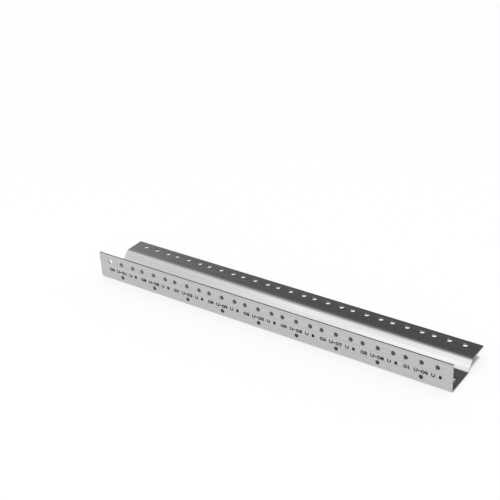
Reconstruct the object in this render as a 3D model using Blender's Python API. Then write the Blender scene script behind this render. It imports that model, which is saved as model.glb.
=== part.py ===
"""Rack mounting rail: nine rack units of bent and punched galvanised sheet steel.

The rail lies on its web. X runs along it, Y goes from the numbered mounting flange
to the free edge of the ledge, and Z goes up from the floor. The origin is on the
floor, under the middle of the rail.
"""
import math

import bmesh
import bpy
from mathutils import Vector

MM = 0.001

# Sheet and bends. The radii are on the inside of each bend.
SHEET = 1.5 * MM
FLANGE_BEND_RADIUS = 1.25 * MM
SLOPE_FOOT_RADIUS = 1.5 * MM
SLOPE_TOP_RADIUS = 6.0 * MM
BEND_STEPS = 6

# Section. The flange is measured from the floor, the web from the flange's outer
# face to the bend line, and the ledge from its bend line to its free edge.
FLANGE_HEIGHT = 30.5 * MM
WEB_WIDTH = 34.2 * MM
SLOPE_RISE = 10.65 * MM
SLOPE_ANGLE = math.radians(47)
LEDGE_WIDTH = 22.9 * MM

# Rack spacing: three holes in each unit, the third one closer to the next unit.
RACK_UNIT = 44.45 * MM
UNIT_COUNT = 9
FIRST_HOLE = 6.35 * MM
HOLE_SPACING = 15.875 * MM
HOLES_PER_UNIT = 3
END_MARGIN = 8.45 * MM

# Holes for M6 screws, as wide as the core of their thread, and the plain holes below them
TAPPED_DIAMETER = 5.0 * MM
PLAIN_DIAMETER = 4.3 * MM
HOLE_SIDES = 24
FLANGE_ROW_DROP = 8.0 * MM          # from the flange's top edge
PLAIN_ROW_HEIGHT = 7.0 * MM         # from the floor
LEDGE_ROW_INSET = 7.6 * MM          # from the ledge's free edge

# Web cut-outs, two to each unit: squares and hexagons in turn, a slot at each end
WEB_ROW = 17.15 * MM                # from the flange's outer face
CUTOUTS_PER_UNIT = 2
SQUARE_SIDE = 10.0 * MM
HEXAGON_FLATS = 11.2 * MM
END_SLOT_LENGTH = 11.3 * MM
END_SLOT_WIDTH = 8.4 * MM
END_SLOT_ROW = 17.95 * MM           # from the flange's outer face
END_SLOT_MARGIN = 5.2 * MM          # from the rail's end to the slot

# How far each punch runs past both faces of the sheet
PUNCH_OVERRUN = 1.0 * MM

STEEL_COLOR = (0.56, 0.56, 0.56, 1.0)
STEEL_ROUGHNESS = 0.32

RAIL_LENGTH = UNIT_COUNT * RACK_UNIT + 2 * END_MARGIN
RUN_OF_SLOPE = SLOPE_RISE / math.tan(SLOPE_ANGLE)
RAIL_DEPTH = WEB_WIDTH + RUN_OF_SLOPE + LEDGE_WIDTH
LEDGE_HEIGHT = SHEET + SLOPE_RISE
FIRST_UNIT_X = -UNIT_COUNT * RACK_UNIT / 2
FLANGE_Y = -RAIL_DEPTH / 2


def clear_scene():
    """Start from an empty scene."""
    for item in list(bpy.data.objects):
        bpy.data.objects.remove(item, do_unlink=True)


def steel_material():
    """Bare galvanised steel."""
    material = bpy.data.materials.new("galvanised_steel")
    material.use_nodes = True
    shader = material.node_tree.nodes["Principled BSDF"]
    shader.inputs["Base Color"].default_value = STEEL_COLOR
    shader.inputs["Metallic"].default_value = 1.0
    shader.inputs["Roughness"].default_value = STEEL_ROUGHNESS
    return material


def section_corners():
    """Corners of the sheet's middle line as (y, z), from the flange's top to the ledge's edge."""
    half = SHEET / 2
    bend_shift = half * math.tan(SLOPE_ANGLE / 2)
    slope_foot = FLANGE_Y + WEB_WIDTH + bend_shift
    return [
        Vector((FLANGE_Y + half, FLANGE_HEIGHT)),
        Vector((FLANGE_Y + half, half)),
        Vector((slope_foot, half)),
        Vector((slope_foot + RUN_OF_SLOPE, half + SLOPE_RISE)),
        Vector((FLANGE_Y + RAIL_DEPTH, half + SLOPE_RISE)),
    ]


def bend_stations(before, corner, after, inner_radius):
    """Points and unit tangents of the middle line around one bend."""
    inward = (corner - before).normalized()
    outward = (after - corner).normalized()
    turn = inward.angle_signed(outward)
    radius = inner_radius + SHEET / 2
    start = corner - inward * radius * math.tan(abs(turn) / 2)
    side = math.copysign(1.0, turn)
    centre = start + radius * side * Vector((inward.y, -inward.x))
    stations = []
    for step in range(BEND_STEPS + 1):
        angle = -turn * step / BEND_STEPS
        spoke = start - centre
        turned = Vector((
            spoke.x * math.cos(angle) - spoke.y * math.sin(angle),
            spoke.x * math.sin(angle) + spoke.y * math.cos(angle),
        ))
        tangent = Vector((
            inward.x * math.cos(angle) - inward.y * math.sin(angle),
            inward.x * math.sin(angle) + inward.y * math.cos(angle),
        ))
        stations.append((centre + turned, tangent))
    return stations


def section_outline():
    """Closed outline of the bent sheet as (y, z) points."""
    corners = section_corners()
    radii = [FLANGE_BEND_RADIUS, SLOPE_FOOT_RADIUS, SLOPE_TOP_RADIUS]
    stations = [(corners[0], (corners[1] - corners[0]).normalized())]
    for index, radius in enumerate(radii):
        stations += bend_stations(corners[index], corners[index + 1], corners[index + 2], radius)
    stations.append((corners[-1], (corners[-1] - corners[-2]).normalized()))
    one_side = []
    other_side = []
    for point, tangent in stations:
        across = Vector((-tangent.y, tangent.x)) * SHEET / 2
        one_side.append(point + across)
        other_side.append(point - across)
    return one_side + other_side[::-1]


def add_object(name, mesh_maker, material=None):
    """Object whose mesh the given function fills in."""
    mesh = bpy.data.meshes.new(name)
    shape = bmesh.new()
    mesh_maker(shape)
    bmesh.ops.recalc_face_normals(shape, faces=shape.faces)
    shape.to_mesh(mesh)
    shape.free()
    mesh.shade_smooth()
    mesh.set_sharp_from_angle(angle=math.radians(30))
    if material:
        mesh.materials.append(material)
    item = bpy.data.objects.new(name, mesh)
    bpy.context.scene.collection.objects.link(item)
    return item


def extrude_outline(shape, points, travel):
    """Solid swept from a flat outline of 3-D points along a vector."""
    face = shape.faces.new([shape.verts.new(point) for point in points])
    grown = bmesh.ops.extrude_face_region(shape, geom=[face])
    moved = [part for part in grown["geom"] if isinstance(part, bmesh.types.BMVert)]
    bmesh.ops.translate(shape, vec=travel, verts=moved)


def make_blank(shape):
    """The bent sheet before its holes."""
    points = [Vector((-RAIL_LENGTH / 2, y, z)) for y, z in section_outline()]
    extrude_outline(shape, points, Vector((RAIL_LENGTH, 0, 0)))


def polygon(sides, radius, start_angle):
    """Corners of a regular polygon around the origin."""
    angles = [start_angle + 2 * math.pi * side / sides for side in range(sides)]
    return [(radius * math.cos(angle), radius * math.sin(angle)) for angle in angles]


def rectangle(length, width):
    """Corners of a rectangle around the origin."""
    return [
        (-length / 2, -width / 2),
        (length / 2, -width / 2),
        (length / 2, width / 2),
        (-length / 2, width / 2),
    ]


def screw_positions():
    """Places along X of the screw holes, three in each rack unit."""
    return [
        FIRST_UNIT_X + unit * RACK_UNIT + FIRST_HOLE + hole * HOLE_SPACING
        for unit in range(UNIT_COUNT)
        for hole in range(HOLES_PER_UNIT)
    ]


def unit_middles():
    """Places along X of the middle of each rack unit."""
    return [FIRST_UNIT_X + (unit + 0.5) * RACK_UNIT for unit in range(UNIT_COUNT)]


def round_punch(diameter):
    """Outline of a round punch, with its corners on the hole's circle."""
    return polygon(HOLE_SIDES, diameter / 2, math.pi / HOLE_SIDES)


def punch_flange(shape):
    """Cutters for the two rows of round holes in the flange."""
    rows = [
        (FLANGE_HEIGHT - FLANGE_ROW_DROP, TAPPED_DIAMETER, screw_positions()),
        (PLAIN_ROW_HEIGHT, PLAIN_DIAMETER, unit_middles()),
    ]
    start = FLANGE_Y - PUNCH_OVERRUN
    travel = Vector((0, SHEET + 2 * PUNCH_OVERRUN, 0))
    for height, diameter, places in rows:
        for place in places:
            points = [Vector((place + x, start, height + z)) for x, z in round_punch(diameter)]
            extrude_outline(shape, points, travel)


def punch_ledge(shape):
    """Cutters for the row of round holes in the ledge."""
    row = FLANGE_Y + RAIL_DEPTH - LEDGE_ROW_INSET
    start = LEDGE_HEIGHT - SHEET - PUNCH_OVERRUN
    travel = Vector((0, 0, SHEET + 2 * PUNCH_OVERRUN))
    for place in screw_positions():
        points = [Vector((place + x, row + y, start)) for x, y in round_punch(TAPPED_DIAMETER)]
        extrude_outline(shape, points, travel)


def web_cutouts():
    """Place along X, row from the flange's outer face and outline of each cut-out in the web."""
    hexagon = polygon(6, HEXAGON_FLATS / math.sqrt(3), 0)
    square = rectangle(SQUARE_SIDE, SQUARE_SIDE)
    cutouts = []
    for index in range(1, UNIT_COUNT * CUTOUTS_PER_UNIT):
        place = FIRST_UNIT_X + index * RACK_UNIT / CUTOUTS_PER_UNIT
        cutouts.append((place, WEB_ROW, square if index % 2 == 0 else hexagon))
    slot = rectangle(END_SLOT_LENGTH, END_SLOT_WIDTH)
    slot_place = RAIL_LENGTH / 2 - END_SLOT_MARGIN - END_SLOT_LENGTH / 2
    cutouts.append((-slot_place, END_SLOT_ROW, slot))
    cutouts.append((slot_place, END_SLOT_ROW, slot))
    return cutouts


def punch_web(shape):
    """Cutters for the squares, hexagons and end slots in the web."""
    travel = Vector((0, 0, SHEET + 2 * PUNCH_OVERRUN))
    for place, row, outline in web_cutouts():
        points = [Vector((place + x, FLANGE_Y + row + y, -PUNCH_OVERRUN)) for x, y in outline]
        extrude_outline(shape, points, travel)


def cut(target, name, mesh_maker):
    """Cut a row of punches out of the target."""
    cutter = add_object(name, mesh_maker)
    cutter.hide_render = True
    cutter.display_type = "WIRE"
    modifier = target.modifiers.new(name, "BOOLEAN")
    modifier.operation = "DIFFERENCE"
    modifier.solver = "EXACT"
    modifier.object = cutter


def main():
    clear_scene()
    rail = add_object("mounting_rail", make_blank, steel_material())
    cut(rail, "flange_punches", punch_flange)
    cut(rail, "web_punches", punch_web)
    cut(rail, "ledge_punches", punch_ledge)


main()
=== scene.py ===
"""Looks of the rack mounting rail: fine edges, screw threads, unit numbers, finish and light.

X runs along the rail, Y goes from the numbered flange to the free edge of the ledge, and
Z goes up from the floor that the rail lies on.
"""
import math

import bmesh
import bpy
from mathutils import Matrix, Vector


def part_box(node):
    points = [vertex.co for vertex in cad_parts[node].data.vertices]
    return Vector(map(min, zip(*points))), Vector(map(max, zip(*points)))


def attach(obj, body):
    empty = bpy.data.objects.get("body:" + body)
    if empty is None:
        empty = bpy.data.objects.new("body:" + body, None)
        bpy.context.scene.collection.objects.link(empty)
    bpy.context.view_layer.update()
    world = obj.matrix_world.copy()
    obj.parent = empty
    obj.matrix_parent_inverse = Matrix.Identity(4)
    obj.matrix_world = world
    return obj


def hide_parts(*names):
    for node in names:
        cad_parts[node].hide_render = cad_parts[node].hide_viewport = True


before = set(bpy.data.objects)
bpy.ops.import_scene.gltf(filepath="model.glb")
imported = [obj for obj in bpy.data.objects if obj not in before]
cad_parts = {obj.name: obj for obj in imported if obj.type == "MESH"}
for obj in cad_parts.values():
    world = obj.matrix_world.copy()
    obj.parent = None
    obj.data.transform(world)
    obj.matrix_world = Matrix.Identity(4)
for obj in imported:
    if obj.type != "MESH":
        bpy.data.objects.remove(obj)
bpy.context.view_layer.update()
rail_low, rail_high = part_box("mounting_rail")

MM = 0.001

# Overall sizes, from the frame
RAIL_LENGTH = rail_high.x - rail_low.x
RAIL_DEPTH = rail_high.y - rail_low.y
FLANGE_HEIGHT = rail_high.z
FLANGE_Y = rail_low.y

# Sheet and bends. The radii are on the inside of each bend.
SHEET = 1.5 * MM
FLANGE_BEND_RADIUS = 1.25 * MM
SLOPE_FOOT_RADIUS = 1.5 * MM
SLOPE_TOP_RADIUS = 6.0 * MM
BEND_STEPS = 16
EDGE_BREAK = 0.06 * MM

# Section
WEB_WIDTH = 34.2 * MM
SLOPE_RISE = 10.65 * MM
SLOPE_ANGLE = math.radians(47)
LEDGE_HEIGHT = SHEET + SLOPE_RISE

# Rack spacing
RACK_UNIT = 44.45 * MM
UNIT_COUNT = 9
FIRST_HOLE = 6.35 * MM
HOLE_SPACING = 15.875 * MM
HOLES_PER_UNIT = 3
FIRST_UNIT_X = -UNIT_COUNT * RACK_UNIT / 2

# M6 thread of the tapped holes, with its flats as shares of the pitch
THREAD_CREST_RADIUS = 2.46 * MM
THREAD_ROOT_RADIUS = 3.0 * MM
THREAD_PITCH = 1.0 * MM
CREST_FLAT = 0.25
ROOT_FLAT = 0.125
THREAD_SIDES = 40

# Plain holes and the rows' places
PLAIN_RADIUS = 2.15 * MM
PLAIN_SIDES = 48
FLANGE_ROW_DROP = 8.0 * MM
PLAIN_ROW_HEIGHT = 7.0 * MM
LEDGE_ROW_INSET = 7.6 * MM

# Web cut-outs
WEB_ROW = 17.15 * MM
CUTOUTS_PER_UNIT = 2
SQUARE_SIDE = 10.0 * MM
HEXAGON_FLATS = 11.2 * MM
END_SLOT_LENGTH = 11.3 * MM
END_SLOT_WIDTH = 8.4 * MM
END_SLOT_ROW = 17.95 * MM
END_SLOT_MARGIN = 5.2 * MM
CUTOUT_CORNER = 0.4 * MM
CORNER_STEPS = 4

# Rounded lip that the punch leaves on both faces of the sheet, and how far cutters run past them
LIP = 0.06 * MM
LIP_STEPS = 3
PUNCH_OVERRUN = 1.0 * MM

# Faces that meet at less than this angle are shaded as one smooth surface
SMOOTH_ANGLE = math.radians(32)

# Printed unit numbers, measured from the start of each rack unit
INK_THICKNESS = 0.02 * MM
INK_STROKE = 1.08 * MM
INK_HEIGHT = 3.75 * MM
INK_BOTTOM = 11.1 * MM
ROUND_CORNER = 1.3 * MM
SHARP_CORNER = 0.25 * MM
ZERO_WIDTH = 3.85 * MM
DIGIT_WIDTH = 3.05 * MM
DIGIT_SPACING = 3.9 * MM
FIRST_NUMBER = 4.3 * MM
FIRST_LETTER = 14.6 * MM
DASH = 18.9 * MM
DASH_WIDTH = 2.5 * MM
SECOND_NUMBER = 21.85 * MM
SECOND_LETTER = 32.1 * MM
LETTER_WIDTH = 4.0 * MM
TICK = 39.75 * MM
TICK_WIDTH = 2.8 * MM
TICK_HEIGHT = 3.4 * MM

# Material slots of the sheet: its faces and threads, its long edges and cut-outs, and its ends
COATED = 0
SHEARED = 1
SAWN = 2

# Noise mostly stays between these two values
NOISE_LOW = 0.3
NOISE_HIGH = 0.7

# Zinc coating: its mean, its two greys and its two roughnesses. The streaks and the clouds are
# stretched along the rail, by their smaller scale in X.
ZINC = (0.54, 0.54, 0.54)
ZINC_DARK = (0.505, 0.505, 0.507)
ZINC_LIGHT = (0.575, 0.575, 0.576)
ZINC_ROUGHNESS = 0.26
ZINC_SMOOTH = 0.22
ZINC_ROUGH = 0.31
STREAK_SCALE = (5.0, 500.0, 500.0)
STREAK_DETAIL = 5.0
STREAK_BUMP = 0.12
STREAK_DEPTH = 0.02 * MM
CLOUD_SCALE = (7.0, 160.0, 160.0)
CLOUD_DETAIL = 3.0

# Cut steel: the sheared edges and punched walls are darker than the saw-cut ends. The ends' greys are
# partly bare steel and partly a painted shade, held dark for the web's end, which lies in the rail's
# shadow.
SHEARED_DARK = (0.06, 0.06, 0.06)
SHEARED_LIGHT = (0.11, 0.11, 0.11)
SAWN_AND_SHADE_DARK = (0.26, 0.26, 0.26)
SAWN_AND_SHADE_LIGHT = (0.34, 0.34, 0.34)
CUT_ROUGHNESS = 0.34
CUT_SMOOTH = 0.28
CUT_ROUGH = 0.4
CUT_MARK_SCALE = (2500.0, 900.0, 900.0)
CUT_MARK_DETAIL = 3.0

# Marking ink: its mean and its two greys
INK = (0.012, 0.012, 0.013)
INK_DARK = (0.006, 0.006, 0.007)
INK_LIGHT = (0.018, 0.018, 0.019)
INK_ROUGHNESS = 0.7
INK_SPECULAR = 0.15
BLOTCH_SCALE = (900.0, 900.0, 900.0)
BLOTCH_DETAIL = 4.0

# Camera, in the rail's frame
CAMERA_PLACE = (0.5149, -0.7387, 0.5703)
CAMERA_AZIMUTH = math.radians(36.421)
CAMERA_PITCH = math.radians(28.817)
CAMERA_ROLL = math.radians(-3.403)
CAMERA_LENS = 75.216
CAMERA_SENSOR = 36.0

# Studio: the room is dark where a direction leans less than DARK_UNTIL to the bright side, and
# white where it leans more than BRIGHT_FROM. Matt surfaces get one even level.
BRIGHT_SIDE = (-0.689, -0.564, -0.456)
DARK_UNTIL = -0.29
BRIGHT_FROM = 0.165
DARK_LEVEL = 0.104
MATT_LEVEL = 0.95

# Lamps: name, place, width, height and radiance. Each one faces the rail's middle.
LAMPS = [
    ("front_lamp", (-0.34, -0.94, 0.97), 0.9, 0.45, 0.84),
    ("top_lamp", (0.5, 0.15, 1.4), 0.7, 0.7, 0.8),
    ("side_lamp", (-1.25, -0.78, 1.03), 0.6, 0.5, 0.1),
    ("bend_lamp", (-1.08, -0.28, 1.16), 0.2, 0.4, 0.6),
]

# Floor: its colour and its share of pure white, beside the rail and under it. Under the rail the
# colour is painted darker, a painted shadow, and the white glow is mostly taken away there.
FLOOR_HALF_SIZE = 6.0
OPEN_ALBEDO = 0.97
PAINTED_SHADOW_ALBEDO = 0.45
OPEN_WHITE = 0.75
COVERED_WHITE = 0.05
COVER_EDGE = 4.0 * MM


def link(item):
    bpy.context.scene.collection.objects.link(item)
    return item


def section_corners():
    """Corners of the sheet's middle line as (y, z), from the flange's top to the ledge's edge."""
    half = SHEET / 2
    bend_shift = half * math.tan(SLOPE_ANGLE / 2)
    slope_foot = FLANGE_Y + WEB_WIDTH + bend_shift
    slope_run = SLOPE_RISE / math.tan(SLOPE_ANGLE)
    return [
        Vector((FLANGE_Y + half, FLANGE_HEIGHT)),
        Vector((FLANGE_Y + half, half)),
        Vector((slope_foot, half)),
        Vector((slope_foot + slope_run, half + SLOPE_RISE)),
        Vector((FLANGE_Y + RAIL_DEPTH, half + SLOPE_RISE)),
    ]


def turned(vector, angle):
    return Matrix.Rotation(angle, 2) @ vector


def bend_stations(before, corner, after, inner_radius):
    """Points and unit tangents of the middle line around one bend."""
    inward = (corner - before).normalized()
    outward = (after - corner).normalized()
    turn = -inward.angle_signed(outward)
    radius = inner_radius + SHEET / 2
    start = corner - inward * radius * math.tan(abs(turn) / 2)
    centre = start + radius * math.copysign(1.0, turn) * Vector((-inward.y, inward.x))
    stations = []
    for step in range(BEND_STEPS + 1):
        angle = turn * step / BEND_STEPS
        stations.append((centre + turned(start - centre, angle), turned(inward, angle)))
    return stations


def section_stations():
    """Points and tangents of the middle line of the whole section."""
    corners = section_corners()
    stations = [(corners[0], (corners[1] - corners[0]).normalized())]
    for index, radius in enumerate([FLANGE_BEND_RADIUS, SLOPE_FOOT_RADIUS, SLOPE_TOP_RADIUS]):
        stations += bend_stations(corners[index], corners[index + 1], corners[index + 2], radius)
    stations.append((corners[-1], (corners[-1] - corners[-2]).normalized()))
    return stations


def section_outline(inset):
    """Outline of the sheet as (y, z) points, drawn in by the inset, with its edges broken."""
    stations = section_stations()
    half = SHEET / 2 - inset
    start, start_tangent = stations[0]
    end, end_tangent = stations[-1]
    stations[0] = (start + start_tangent * (inset + EDGE_BREAK), start_tangent)
    stations[-1] = (end - end_tangent * (inset + EDGE_BREAK), end_tangent)
    left = []
    right = []
    for point, tangent in stations:
        across = Vector((-tangent.y, tangent.x)) * half
        left.append(point + across)
        right.append(point - across)
    across_start = Vector((-start_tangent.y, start_tangent.x)) * (half - EDGE_BREAK)
    across_end = Vector((-end_tangent.y, end_tangent.x)) * (half - EDGE_BREAK)
    start += start_tangent * inset
    end -= end_tangent * inset
    return (
        left + [end + across_end, end - across_end] + right[::-1]
        + [start - across_start, start + across_start]
    )


def loft(shape, rings, material_of_side=lambda side: 0, material_of_caps=0):
    """Closed solid through rings of 3-D points, with a cap on the first and the last."""
    loops = [[shape.verts.new(point) for point in ring] for ring in rings]
    count = len(rings[0])
    for lower, upper in zip(loops, loops[1:]):
        for side in range(count):
            after = (side + 1) % count
            face = shape.faces.new([lower[side], lower[after], upper[after], upper[side]])
            face.material_index = material_of_side(side)
    for cap in (loops[0], loops[-1]):
        shape.faces.new(cap).material_index = material_of_caps


def mesh_object(name, shape, materials):
    """Object from a bmesh, with its faces turned outwards."""
    bmesh.ops.recalc_face_normals(shape, faces=shape.faces)
    mesh = bpy.data.meshes.new(name)
    shape.to_mesh(mesh)
    shape.free()
    for material in materials:
        mesh.materials.append(material)
    return link(bpy.data.objects.new(name, mesh))


def sheet_blank(steel, sheared, sawn_and_shade):
    """The bent sheet before it is punched: its faces, its long edges and its ends."""
    full = section_outline(0)
    inner = section_outline(EDGE_BREAK)
    along = [
        (-RAIL_LENGTH / 2, inner),
        (-RAIL_LENGTH / 2 + EDGE_BREAK, full),
        (RAIL_LENGTH / 2 - EDGE_BREAK, full),
        (RAIL_LENGTH / 2, inner),
    ]
    faces_per_side = len(section_stations()) - 1
    ledge_edge = faces_per_side + 1
    flange_edge = 2 * faces_per_side + 4
    shape = bmesh.new()
    rings = [[Vector((x, y, z)) for y, z in outline] for x, outline in along]
    loft(shape, rings, lambda side: SHEARED if side in (ledge_edge, flange_edge) else COATED, SAWN)
    return mesh_object("rail_sheet", shape, [steel, sheared, sawn_and_shade])


def corner_arc(corner, back, ahead, radius):
    """Arc that rounds a corner between the unit directions of its two edges."""
    half_angle = back.angle(ahead) / 2
    reach = radius / math.tan(half_angle)
    middle = corner + (back + ahead).normalized() * radius / math.sin(half_angle)
    first = corner + back * reach - middle
    last = corner + ahead * reach - middle
    sweep = -first.angle_signed(last)
    return [middle + turned(first, sweep * step / CORNER_STEPS) for step in range(CORNER_STEPS + 1)]


def rounded_outline(corners, radius):
    """Closed outline whose corners are arcs."""
    outline = []
    for index, corner in enumerate(corners):
        back = (corners[index - 1] - corner).normalized()
        ahead = (corners[(index + 1) % len(corners)] - corner).normalized()
        outline += corner_arc(corner, back, ahead, radius)
    return outline


def polygon(sides, radius):
    """Corners of a regular polygon around the origin."""
    angles = [2 * math.pi * side / sides for side in range(sides)]
    return [Vector((radius * math.cos(angle), radius * math.sin(angle))) for angle in angles]


def rectangle(length, width):
    """Corners of a rectangle around the origin."""
    return [
        Vector((-length / 2, -width / 2)),
        Vector((length / 2, -width / 2)),
        Vector((length / 2, width / 2)),
        Vector((-length / 2, width / 2)),
    ]


def lip_profile():
    """Depths through the sheet and how far the punched wall stands back there."""
    profile = [(-PUNCH_OVERRUN, LIP)]
    angles = [math.pi / 2 * step / LIP_STEPS for step in range(LIP_STEPS + 1)]
    profile += [(LIP * (1 - math.cos(a)), LIP * (1 - math.sin(a))) for a in angles]
    profile += [(SHEET - LIP * (1 - math.cos(a)), LIP * (1 - math.sin(a))) for a in angles[::-1]]
    profile.append((SHEET + PUNCH_OVERRUN, LIP))
    return profile


def grown(outline, margin):
    """Outline moved outwards by a margin."""
    moved = []
    for index, point in enumerate(outline):
        ahead = (outline[(index + 1) % len(outline)] - outline[index - 1]).normalized()
        moved.append(point + Vector((ahead.y, -ahead.x)) * margin)
    return moved


def add_punch(shape, outline, place):
    """Cutter with rounded lips. The place turns (across, up, depth) into the rail's frame."""
    rings = []
    for depth, margin in lip_profile():
        rings.append([place(x, y, depth) for x, y in grown(outline, margin)])
    loft(shape, rings)


def thread_profile():
    """Rise as a share of the pitch, and radius, at each corner of one turn of the thread."""
    flank = (1 - CREST_FLAT - ROOT_FLAT) / 2
    return [
        (0.0, THREAD_CREST_RADIUS),
        (CREST_FLAT, THREAD_CREST_RADIUS),
        (CREST_FLAT + flank, THREAD_ROOT_RADIUS),
        (CREST_FLAT + flank + ROOT_FLAT, THREAD_ROOT_RADIUS),
    ]


def thread_rows(shape, place):
    """Rows of a threaded rod's corners. Each row winds once around it and rises by one pitch."""
    profile = thread_profile()
    turns = math.ceil((SHEET + 2 * PUNCH_OVERRUN) / THREAD_PITCH) + 1
    rows = []
    for row in range(turns * len(profile) + 1):
        turn, station = divmod(row, len(profile))
        rise, radius = profile[station]
        verts = []
        for side in range(THREAD_SIDES):
            part = side / THREAD_SIDES
            angle = 2 * math.pi * part
            depth = (turn + rise + part - 1) * THREAD_PITCH - PUNCH_OVERRUN
            point = place(radius * math.cos(angle), radius * math.sin(angle), depth)
            verts.append(shape.verts.new(point))
        rows.append(verts)
    return rows


def add_thread(shape, place):
    """Threaded rod cutter: one closed helical strip that runs past both faces of the sheet."""
    rows = thread_rows(shape, place)
    per_turn = len(thread_profile())
    last_row = len(rows) - 1
    for row in range(last_row):
        for side in range(THREAD_SIDES - 1):
            shape.faces.new([rows[row][side], rows[row][side + 1],
                             rows[row + 1][side + 1], rows[row + 1][side]])
        if row + 1 + per_turn <= last_row:
            shape.faces.new([rows[row][-1], rows[row + per_turn][0],
                             rows[row + per_turn + 1][0], rows[row + 1][-1]])
    lower = rows[0] + [rows[row][0] for row in range(per_turn, 0, -1)]
    upper = rows[-1] + [rows[row][-1] for row in range(last_row - 1, last_row - per_turn - 1, -1)]
    for loop, depth in ((lower, -PUNCH_OVERRUN - THREAD_PITCH), (upper, SHEET + 2 * PUNCH_OVERRUN)):
        centre = shape.verts.new(place(0, 0, depth))
        for index, vert in enumerate(loop):
            shape.faces.new([vert, loop[(index + 1) % len(loop)], centre])


def screw_positions():
    """Places along X of the tapped holes, three in each rack unit."""
    return [
        FIRST_UNIT_X + unit * RACK_UNIT + FIRST_HOLE + hole * HOLE_SPACING
        for unit in range(UNIT_COUNT)
        for hole in range(HOLES_PER_UNIT)
    ]


def flange_place(x, height):
    """Turns (across, up, depth) at a hole of the flange into the rail's frame."""
    return lambda across, up, depth: Vector((x + across, FLANGE_Y + depth, height + up))


def ledge_place(x):
    """Turns (across, up, depth) at a hole of the ledge into the rail's frame."""
    row = FLANGE_Y + RAIL_DEPTH - LEDGE_ROW_INSET
    return lambda across, up, depth: Vector((x + across, row + up, LEDGE_HEIGHT - depth))


def web_place(x, row):
    """Turns (across, up, depth) at a cut-out of the web into the rail's frame."""
    return lambda across, up, depth: Vector((x + across, FLANGE_Y + row + up, depth))


def tapped_places():
    """Places of all the tapped holes, in the flange and in the ledge."""
    flange = [flange_place(x, FLANGE_HEIGHT - FLANGE_ROW_DROP) for x in screw_positions()]
    return flange + [ledge_place(x) for x in screw_positions()]


def thread_cutters(material):
    """Taps for all the tapped holes."""
    shape = bmesh.new()
    for place in tapped_places():
        add_thread(shape, place)
    return mesh_object("thread_cutters", shape, [material])


def plain_cutters(material):
    """Punches for the plain holes, in the middle of each rack unit."""
    shape = bmesh.new()
    outline = polygon(PLAIN_SIDES, PLAIN_RADIUS)
    for unit in range(UNIT_COUNT):
        x = FIRST_UNIT_X + (unit + 0.5) * RACK_UNIT
        add_punch(shape, outline, flange_place(x, PLAIN_ROW_HEIGHT))
    return mesh_object("plain_cutters", shape, [material])


def web_cutters(material):
    """Punches for the web's squares, hexagons and end slots."""
    shape = bmesh.new()
    hexagon = rounded_outline(polygon(6, HEXAGON_FLATS / math.sqrt(3)), CUTOUT_CORNER)
    square = rounded_outline(rectangle(SQUARE_SIDE, SQUARE_SIDE), CUTOUT_CORNER)
    slot = rounded_outline(rectangle(END_SLOT_LENGTH, END_SLOT_WIDTH), CUTOUT_CORNER)
    slot_place = RAIL_LENGTH / 2 - END_SLOT_MARGIN - END_SLOT_LENGTH / 2
    cutouts = [(-slot_place, END_SLOT_ROW, slot), (slot_place, END_SLOT_ROW, slot)]
    for index in range(1, UNIT_COUNT * CUTOUTS_PER_UNIT):
        x = FIRST_UNIT_X + index * RACK_UNIT / CUTOUTS_PER_UNIT
        cutouts.append((x, WEB_ROW, square if index % 2 == 0 else hexagon))
    for x, row, outline in cutouts:
        add_punch(shape, outline, web_place(x, row))
    return mesh_object("web_cutters", shape, [material])


def punch(target, cutters):
    """Cut the rows of punches out of the sheet, and keep only the finished mesh."""
    for cutter in cutters:
        modifier = target.modifiers.new(cutter.name, "BOOLEAN")
        modifier.operation = "DIFFERENCE"
        modifier.solver = "MANIFOLD"
        modifier.material_mode = "TRANSFER"
        modifier.object = cutter
    graph = bpy.context.evaluated_depsgraph_get()
    mesh = bpy.data.meshes.new_from_object(target.evaluated_get(graph))
    target.modifiers.clear()
    target.data = mesh
    for cutter in cutters:
        bpy.data.objects.remove(cutter, do_unlink=True)


def smooth(item):
    """Smooth shading with sharp edges, and flat faces kept flat beside the bends."""
    item.data.shade_smooth()
    item.data.set_sharp_from_angle(angle=SMOOTH_ANGLE)
    weights = item.modifiers.new("flat_faces", "WEIGHTED_NORMAL")
    weights.mode = "FACE_AREA"
    weights.keep_sharp = True


def rounded_path(points, corner_radius):
    """Open path whose corners are arcs that end at most halfway along its strokes."""
    path = [points[0]]
    for before, corner, after in zip(points, points[1:], points[2:]):
        back = (before - corner).normalized()
        ahead = (after - corner).normalized()
        room = min((before - corner).length, (after - corner).length) / 2
        radius = min(corner_radius, room * math.tan(back.angle(ahead) / 2))
        path += corner_arc(corner, back, ahead, radius)
    path.append(points[-1])
    return path


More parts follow.
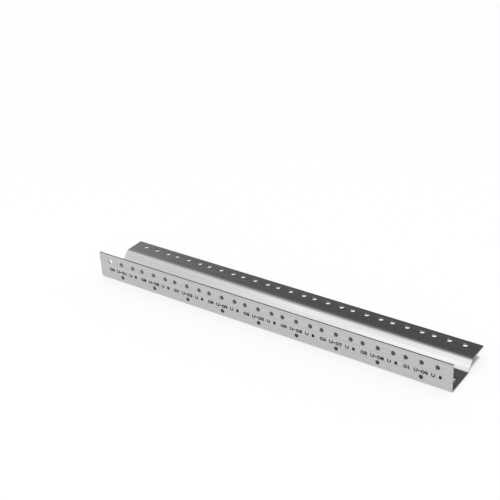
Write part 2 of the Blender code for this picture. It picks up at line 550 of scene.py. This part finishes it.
def glyph_paths(character, width):
    """Strokes of one character as open paths of (across, up) points on its box's middle lines."""
    edge = INK_STROKE / 2
    left, right = edge, width - edge
    low, high = edge, INK_HEIGHT - edge
    middle = INK_HEIGHT / 2
    centre = width / 2
    inner_left, inner_right = left + edge, right - edge
    strokes = {
        "0": [[(centre, low), (left, low), (left, high), (right, high), (right, low), (centre, low)]],
        "1": [[(centre - 2 * edge, high), (centre, high), (centre, low), (centre + 1.5 * edge, low)],
              [(centre - 1.5 * edge, low), (centre - edge, low)]],
        "2": [[(0, high), (right, high), (right, middle), (left, middle), (left, low), (width, low)]],
        "3": [[(0, high), (right, high), (right, low), (0, low)],
              [(inner_left, middle), (inner_right, middle)]],
        "4": [[(left, INK_HEIGHT), (left, middle - edge), (width, middle - edge)],
              [(right - edge, INK_HEIGHT), (right - edge, middle)],
              [(right - edge, middle - 2 * edge), (right - edge, 0)]],
        "5": [[(width, high), (left, high), (left, middle), (right, middle), (right, low), (0, low)]],
        "6": [[(width, high), (left, high), (left, low), (right, low), (right, middle),
               (inner_left, middle)]],
        "7": [[(0, high), (right, high), (centre - edge, 0)]],
        "8": [[(centre, low), (left, low), (left, high), (right, high), (right, low), (centre, low)],
              [(inner_left, middle), (inner_right, middle)]],
        "9": [[(inner_left, low), (right, low), (right, high), (left, high), (left, middle - edge),
               (inner_right, middle - edge)]],
        "U": [[(left, INK_HEIGHT), (left, low), (right, low), (right, INK_HEIGHT)]],
        "-": [[(0, middle), (width, middle)]],
    }
    return [[Vector(point) for point in stroke] for stroke in strokes[character]]


def add_ribbon(shape, path, half_width, origin):
    """Thin solid stroke along a path on the flange's outer face."""
    rings = []
    last = len(path) - 1
    for index, point in enumerate(path):
        ahead = (path[min(index + 1, last)] - path[max(index - 1, 0)]).normalized()
        across = Vector((-ahead.y, ahead.x)) * half_width
        ring = []
        for side, depth in ((1, -1), (1, 1), (-1, 1), (-1, -1)):
            flat = origin + point + across * side
            ring.append(Vector((flat.x, FLANGE_Y + depth * INK_THICKNESS / 2, flat.y)))
        rings.append(ring)
    loft(shape, rings)


def add_character(shape, character, x, width):
    """One character whose box starts at x."""
    corner = SHARP_CORNER if character in "147" else ROUND_CORNER
    for path in glyph_paths(character, width):
        add_ribbon(shape, rounded_path(path, corner), INK_STROKE / 2, Vector((x, INK_BOTTOM)))


def add_number(shape, number, x):
    """A rack unit's number, with its leading zero."""
    add_character(shape, "0", x, ZERO_WIDTH)
    add_character(shape, str(number), x + DIGIT_SPACING, DIGIT_WIDTH)


def unit_numbers(ink):
    """Rack units counted from both ends, with a tick at the end of each unit."""
    shape = bmesh.new()
    tick = [Vector((0, 0)), Vector((TICK_WIDTH, 0))]
    for unit in range(UNIT_COUNT):
        x = FIRST_UNIT_X + unit * RACK_UNIT
        add_number(shape, UNIT_COUNT - unit, x + FIRST_NUMBER)
        add_character(shape, "U", x + FIRST_LETTER, LETTER_WIDTH)
        add_character(shape, "-", x + DASH, DASH_WIDTH)
        add_number(shape, unit + 1, x + SECOND_NUMBER)
        add_character(shape, "U", x + SECOND_LETTER, LETTER_WIDTH)
        add_ribbon(shape, tick, TICK_HEIGHT / 2, Vector((x + TICK, INK_BOTTOM + INK_HEIGHT / 2)))
    return mesh_object("unit_numbers", shape, [ink])


def new_material(name, color, metallic, roughness):
    """Material and its shader, with one colour and one roughness."""
    material = bpy.data.materials.new(name)
    material.use_nodes = True
    shader = material.node_tree.nodes["Principled BSDF"]
    shader.inputs["Base Color"].default_value = (*color, 1.0)
    shader.inputs["Metallic"].default_value = metallic
    shader.inputs["Roughness"].default_value = roughness
    return material, shader


def noise(material, scale, detail):
    """Noise over the object's own coordinates, stretched by a scale for each axis."""
    nodes = material.node_tree.nodes
    links = material.node_tree.links
    coordinates = nodes.new("ShaderNodeTexCoord")
    mapping = nodes.new("ShaderNodeMapping")
    mapping.inputs["Scale"].default_value = scale
    texture = nodes.new("ShaderNodeTexNoise")
    texture.inputs["Scale"].default_value = 1.0
    texture.inputs["Detail"].default_value = detail
    links.new(coordinates.outputs["Object"], mapping.inputs["Vector"])
    links.new(mapping.outputs["Vector"], texture.inputs["Vector"])
    return texture.outputs["Fac"]


def mapped(material, value, low, high):
    """Noise spread over low to high."""
    node = material.node_tree.nodes.new("ShaderNodeMapRange")
    node.inputs["From Min"].default_value = NOISE_LOW
    node.inputs["From Max"].default_value = NOISE_HIGH
    node.inputs["To Min"].default_value = low
    node.inputs["To Max"].default_value = high
    material.node_tree.links.new(value, node.inputs["Value"])
    return node.outputs["Result"]


def tinted(material, value, dark, light):
    """Colour between two greys, after the noise."""
    node = material.node_tree.nodes.new("ShaderNodeMix")
    node.data_type = "RGBA"
    node.inputs["A"].default_value = (*dark, 1.0)
    node.inputs["B"].default_value = (*light, 1.0)
    material.node_tree.links.new(mapped(material, value, 0, 1), node.inputs["Factor"])
    return node.outputs["Result"]


def galvanised_steel():
    """Bright zinc coating with faint streaks along the rolling direction."""
    material, shader = new_material("galvanised_steel", ZINC, 1.0, ZINC_ROUGHNESS)
    links = material.node_tree.links
    streaks = noise(material, STREAK_SCALE, STREAK_DETAIL)
    clouds = noise(material, CLOUD_SCALE, CLOUD_DETAIL)
    links.new(tinted(material, streaks, ZINC_DARK, ZINC_LIGHT), shader.inputs["Base Color"])
    links.new(mapped(material, clouds, ZINC_SMOOTH, ZINC_ROUGH), shader.inputs["Roughness"])
    bump = material.node_tree.nodes.new("ShaderNodeBump")
    bump.inputs["Strength"].default_value = STREAK_BUMP
    bump.inputs["Distance"].default_value = STREAK_DEPTH
    links.new(streaks, bump.inputs["Height"])
    links.new(bump.outputs["Normal"], shader.inputs["Normal"])
    return material


def cut_steel(name, dark, light):
    """Cut face: duller than the sheet, with fine marks across its thickness."""
    material, shader = new_material(name, light, 1.0, CUT_ROUGHNESS)
    links = material.node_tree.links
    marks = noise(material, CUT_MARK_SCALE, CUT_MARK_DETAIL)
    links.new(tinted(material, marks, dark, light), shader.inputs["Base Color"])
    links.new(mapped(material, marks, CUT_SMOOTH, CUT_ROUGH), shader.inputs["Roughness"])
    return material


def black_ink():
    """Matt marking ink, a little uneven."""
    material, shader = new_material("marking_ink", INK, 0.0, INK_ROUGHNESS)
    shader.inputs["Specular IOR Level"].default_value = INK_SPECULAR
    blotches = noise(material, BLOTCH_SCALE, BLOTCH_DETAIL)
    color = tinted(material, blotches, INK_DARK, INK_LIGHT)
    material.node_tree.links.new(color, shader.inputs["Base Color"])
    return material


def white_to_eye(nodes, links):
    """1 for rays from the camera and for mirror and glass rays, 0 for others."""
    path = nodes.new("ShaderNodeLightPath")
    total = path.outputs["Is Camera Ray"]
    for name in ("Is Glossy Ray", "Is Transmission Ray"):
        largest = nodes.new("ShaderNodeMath")
        largest.operation = "MAXIMUM"
        links.new(total, largest.inputs[0])
        links.new(path.outputs[name], largest.inputs[1])
        total = largest.outputs["Value"]
    return total


def studio_level(nodes, links):
    """Brightness of the room that the metal reflects: dark behind on the right, white elsewhere."""
    direction = nodes.new("ShaderNodeTexCoord")
    along = nodes.new("ShaderNodeVectorMath")
    along.operation = "DOT_PRODUCT"
    along.inputs[1].default_value = BRIGHT_SIDE
    links.new(direction.outputs["Generated"], along.inputs[0])
    level = nodes.new("ShaderNodeMapRange")
    level.interpolation_type = "SMOOTHSTEP"
    level.inputs["From Min"].default_value = DARK_UNTIL
    level.inputs["From Max"].default_value = BRIGHT_FROM
    level.inputs["To Min"].default_value = DARK_LEVEL
    level.inputs["To Max"].default_value = 1.0
    links.new(along.outputs["Value"], level.inputs["Value"])
    return level.outputs["Result"]


def make_world():
    """White background, the studio's tones in reflections, and an even light on matt surfaces."""
    world = bpy.data.worlds.new("studio")
    world.use_nodes = True
    nodes = world.node_tree.nodes
    links = world.node_tree.links
    background = nodes["Background"]
    background.inputs["Color"].default_value = (1, 1, 1, 1)
    path = nodes.new("ShaderNodeLightPath")
    reflected = nodes.new("ShaderNodeMix")
    reflected.inputs["A"].default_value = MATT_LEVEL
    links.new(white_to_eye(nodes, links), reflected.inputs["Factor"])
    links.new(studio_level(nodes, links), reflected.inputs["B"])
    seen = nodes.new("ShaderNodeMix")
    seen.inputs["B"].default_value = 1.0
    links.new(path.outputs["Is Camera Ray"], seen.inputs["Factor"])
    links.new(reflected.outputs["Result"], seen.inputs["A"])
    links.new(seen.outputs["Result"], background.inputs["Strength"])
    bpy.context.scene.world = world


def outside(nodes, links, along, low, high):
    """0 between two places along one axis, 1 past them, with a soft edge inside them."""
    offset = nodes.new("ShaderNodeMath")
    offset.operation = "SUBTRACT"
    offset.inputs[1].default_value = (low + high) / 2
    links.new(along, offset.inputs[0])
    distance = nodes.new("ShaderNodeMath")
    distance.operation = "ABSOLUTE"
    links.new(offset.outputs["Value"], distance.inputs[0])
    edge = nodes.new("ShaderNodeMapRange")
    edge.interpolation_type = "SMOOTHSTEP"
    edge.inputs["From Min"].default_value = (high - low) / 2 - COVER_EDGE
    edge.inputs["From Max"].default_value = (high - low) / 2
    links.new(distance.outputs["Value"], edge.inputs["Value"])
    return edge.outputs["Result"]


def beside_rail(nodes, links):
    """0 under the rail and 1 beside it: the mask of the painted shadow on the floor."""
    place = nodes.new("ShaderNodeTexCoord")
    axes = nodes.new("ShaderNodeSeparateXYZ")
    links.new(place.outputs["Object"], axes.inputs["Vector"])
    uncovered = nodes.new("ShaderNodeMath")
    uncovered.operation = "MAXIMUM"
    half_length = RAIL_LENGTH / 2
    links.new(outside(nodes, links, axes.outputs["X"], -half_length, half_length), uncovered.inputs[0])
    far_edge = FLANGE_Y + RAIL_DEPTH
    links.new(outside(nodes, links, axes.outputs["Y"], FLANGE_Y, far_edge), uncovered.inputs[1])
    return uncovered.outputs["Value"]


def by_cover(nodes, links, beside, covered, uncovered):
    """Value that changes from under the rail to beside it."""
    value = nodes.new("ShaderNodeMapRange")
    value.inputs["To Min"].default_value = covered
    value.inputs["To Max"].default_value = uncovered
    links.new(beside, value.inputs["Value"])
    return value.outputs["Result"]


def floor_material():
    """Matt white mixed with a glow of pure white, which keeps the rail's shadow soft. Under the rail
    the white is painted darker, a painted shadow, and the glow is mostly taken away.
    """
    material = bpy.data.materials.new("pale_floor")
    material.use_nodes = True
    nodes = material.node_tree.nodes
    links = material.node_tree.links
    nodes.clear()
    diffuse = nodes.new("ShaderNodeBsdfDiffuse")
    glow = nodes.new("ShaderNodeEmission")
    glow.inputs["Strength"].default_value = 1.0
    share = nodes.new("ShaderNodeMath")
    share.operation = "MULTIPLY"
    mix = nodes.new("ShaderNodeMixShader")
    output = nodes.new("ShaderNodeOutputMaterial")
    beside = beside_rail(nodes, links)
    # Painted shadow: the floor's colour is darker under the rail
    floor_colour_with_painted_shadow = by_cover(nodes, links, beside, PAINTED_SHADOW_ALBEDO, OPEN_ALBEDO)
    white = by_cover(nodes, links, beside, COVERED_WHITE, OPEN_WHITE)
    links.new(floor_colour_with_painted_shadow, diffuse.inputs["Color"])
    links.new(white_to_eye(nodes, links), share.inputs[0])
    links.new(white, share.inputs[1])
    links.new(share.outputs["Value"], mix.inputs["Fac"])
    links.new(diffuse.outputs["BSDF"], mix.inputs[1])
    links.new(glow.outputs["Emission"], mix.inputs[2])
    links.new(mix.outputs["Shader"], output.inputs["Surface"])
    return material


def make_floor():
    """Pale floor under and around the rail."""
    shape = bmesh.new()
    corners = rectangle(2 * FLOOR_HALF_SIZE, 2 * FLOOR_HALF_SIZE)
    shape.faces.new([shape.verts.new((x, y, 0)) for x, y in corners])
    floor = mesh_object("floor", shape, [floor_material()])


def softbox(name, place, width, height, radiance):
    """Rectangular lamp of an even radiance that faces the rail's middle."""
    data = bpy.data.lights.new(name, "AREA")
    data.shape = "RECTANGLE"
    data.size = width
    data.size_y = height
    data.energy = radiance * math.pi * width * height
    lamp = link(bpy.data.objects.new(name, data))
    lamp.location = place
    lamp.rotation_mode = "QUATERNION"
    lamp.rotation_quaternion = (-Vector(place)).to_track_quat("-Z", "Y")
    lamp.visible_camera = False


def make_camera():
    data = bpy.data.cameras.new("camera")
    data.lens = CAMERA_LENS
    data.sensor_width = CAMERA_SENSOR
    camera = link(bpy.data.objects.new("camera", data))
    turn = Matrix.Rotation(CAMERA_AZIMUTH, 4, "Z")
    tilt = Matrix.Rotation(math.pi / 2 - CAMERA_PITCH, 4, "X")
    roll = Matrix.Rotation(CAMERA_ROLL, 4, "Z")
    camera.matrix_world = Matrix.Translation(CAMERA_PLACE) @ turn @ tilt @ roll
    bpy.context.scene.camera = camera


def make_rail():
    steel = galvanised_steel()
    sheared = cut_steel("sheared_steel", SHEARED_DARK, SHEARED_LIGHT)
    # Ends: bare steel, partly darkened as a painted shade of the rail's shadow on the web's end
    sawn_and_shade = cut_steel("sawn_steel_and_shade", SAWN_AND_SHADE_DARK, SAWN_AND_SHADE_LIGHT)
    rail = sheet_blank(steel, sheared, sawn_and_shade)
    punch(rail, [thread_cutters(steel), plain_cutters(sheared), web_cutters(sheared)])
    smooth(rail)
    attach(rail, "root")
    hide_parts("mounting_rail")


def make_numbers():
    numbers = unit_numbers(black_ink())
    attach(numbers, "root")


make_camera()
make_rail()
make_numbers()
make_world()
make_floor()
for lamp in LAMPS:
    softbox(*lamp)
bpy.context.scene.view_settings.view_transform = "Standard"
